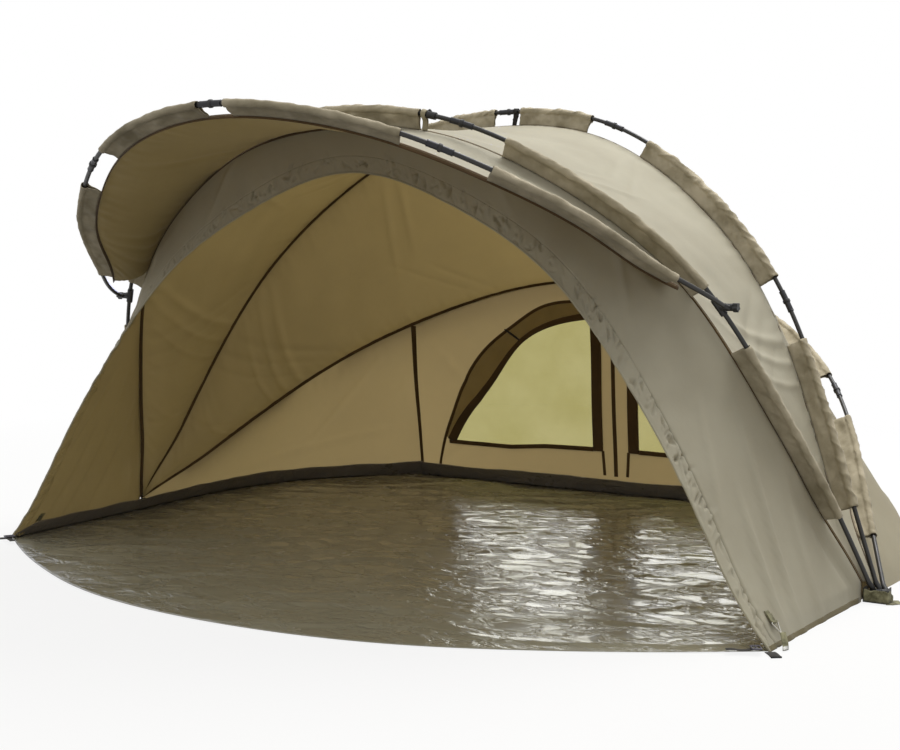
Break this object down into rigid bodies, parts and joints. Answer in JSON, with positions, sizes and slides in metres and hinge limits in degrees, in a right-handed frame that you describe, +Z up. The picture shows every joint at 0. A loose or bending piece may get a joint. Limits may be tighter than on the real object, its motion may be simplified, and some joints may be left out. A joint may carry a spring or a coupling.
{
  "type": "bivvy tent",
  "caption": "Folding dome shelter: curved poles on two ground hinges carry coated fabric over a groundsheet, with a peaked porch over the open door.",
  "frame": {"origin": "on the ground, midway between the two hinges, on the groundsheet's underside", "axes": "+Z up, +X from the left hinge to the right one as seen from the door, +Y from the door to the back"},
  "size_m": [2.9404, 2.4604, 1.4516],
  "materials": {
    "pole": "satin black tube",
    "ferrule": "satin dark grey tube",
    "sleeve": "coated woven polyester, taupe",
    "canopy_fabric": "coated woven polyester, khaki",
    "window_film": "thin clear film",
    "groundsheet_film": "heavy glossy coated sheet",
    "webbing": "woven webbing, olive",
    "dark_webbing": "woven webbing, dark",
    "moulding": "moulded black nylon",
    "steel": "plain steel"
  },
  "bodies": {
    "floor_and_walls": {"front_strap_left": "dark_webbing", "front_strap_right": "dark_webbing", "groundsheet": "groundsheet_film", "hinge_base_left": "moulding", "hinge_base_right": "moulding", "hinge_pin_left": "steel", "hinge_pin_right": "steel", "hinge_tab_left": "webbing", "hinge_tab_right": "webbing", "rear_wall": "canopy_fabric", "side_wall_left": "canopy_fabric", "side_wall_right": "canopy_fabric", "window_left": "window_film", "window_right": "window_film"},
    "rear_rib": {"ferrule_rear_1": "ferrule", "ferrule_rear_2": "ferrule", "pole_rear_1": "pole", "pole_rear_2": "pole", "pole_rear_3": "pole", "roof_rear": "canopy_fabric", "sleeve_rear": "sleeve"},
    "mid_rib": {"ferrule_mid_1": "ferrule", "ferrule_mid_2": "ferrule", "ferrule_mid_3": "ferrule", "ferrule_mid_4": "ferrule", "ferrule_mid_5": "ferrule", "pole_mid_1": "pole", "pole_mid_2": "pole", "pole_mid_3": "pole", "pole_mid_4": "pole", "pole_mid_5": "pole", "pole_mid_6": "pole", "roof_front": "canopy_fabric", "sleeve_mid": "sleeve"},
    "front_rib": {"bracket_left": "moulding", "bracket_right": "moulding", "door_surround": "canopy_fabric", "ferrule_front_1": "ferrule", "ferrule_front_2": "ferrule", "peak_canopy": "canopy_fabric", "peg_tab_left": "webbing", "peg_tab_right": "webbing", "pole_front_1": "pole", "pole_front_2": "pole", "pole_front_3": "pole", "pole_front_4": "pole", "pole_front_5": "pole", "sleeve_front": "sleeve"},
    "peak_rib": {"ferrule_peak_1": "ferrule", "ferrule_peak_2": "ferrule", "ferrule_peak_3": "ferrule", "pole_peak_1": "pole", "pole_peak_2": "pole", "pole_peak_3": "pole", "pole_peak_4": "pole", "sleeve_peak": "sleeve"},
    "knob_left": {"knob_left": "moulding"},
    "v_ring_left": {"v_ring_left": "steel"},
    "knob_right": {"knob_right": "moulding"},
    "v_ring_right": {"v_ring_right": "steel"}
  },
  "joints": [
    {"name": "rear_fold", "type": "hinge", "parent": "floor_and_walls", "child": "rear_rib", "pos_m": [0, 0, 0.026], "axis": [-1, 0, 0], "range_deg": [0, 27.6], "deforming": ["side_wall_left", "side_wall_right", "rear_wall", "window_left", "window_right"]},
    {"name": "mid_fold", "type": "hinge", "parent": "rear_rib", "child": "mid_rib", "pos_m": [0, 0, 0.026], "axis": [-1, 0, 0], "range_deg": [0, 31.2], "deforming": ["roof_rear"]},
    {"name": "front_fold", "type": "hinge", "parent": "mid_rib", "child": "front_rib", "pos_m": [0, 0, 0.026], "axis": [-1, 0, 0], "range_deg": [0, 30.4], "deforming": ["roof_front", "door_surround"]},
    {"name": "peak_fold", "type": "hinge", "parent": "front_rib", "child": "peak_rib", "pos_m": [0, -0.34546, 0.81672], "axis": [-1, 0, 0], "range_deg": [0, 32.8], "deforming": ["peak_canopy"]},
    {"name": "knob_left_turn", "type": "hinge", "parent": "front_rib", "child": "knob_left", "pos_m": [-1.0912, -0.34546, 0.81672], "axis": [-1, 0, 0], "continuous": true},
    {"name": "v_ring_left_swing", "type": "hinge", "parent": "front_rib", "child": "v_ring_left", "pos_m": [-1.30615, -0.55889, 0.05053], "axis": [-0.1462, 0.9885, -0.0382], "range_deg": [0, 150]},
    {"name": "knob_right_turn", "type": "hinge", "parent": "front_rib", "child": "knob_right", "pos_m": [1.0912, -0.34546, 0.81672], "axis": [1, 0, 0], "continuous": true},
    {"name": "v_ring_right_swing", "type": "hinge", "parent": "front_rib", "child": "v_ring_right", "pos_m": [1.30615, -0.55889, 0.05053], "axis": [-0.1462, -0.9885, 0.0382], "range_deg": [0, 150]}
  ],
  "couplings": [
    {"joint": "mid_fold", "follows": "rear_fold", "ratio": 1.1304},
    {"joint": "front_fold", "follows": "rear_fold", "ratio": 1.1014}
  ]
}
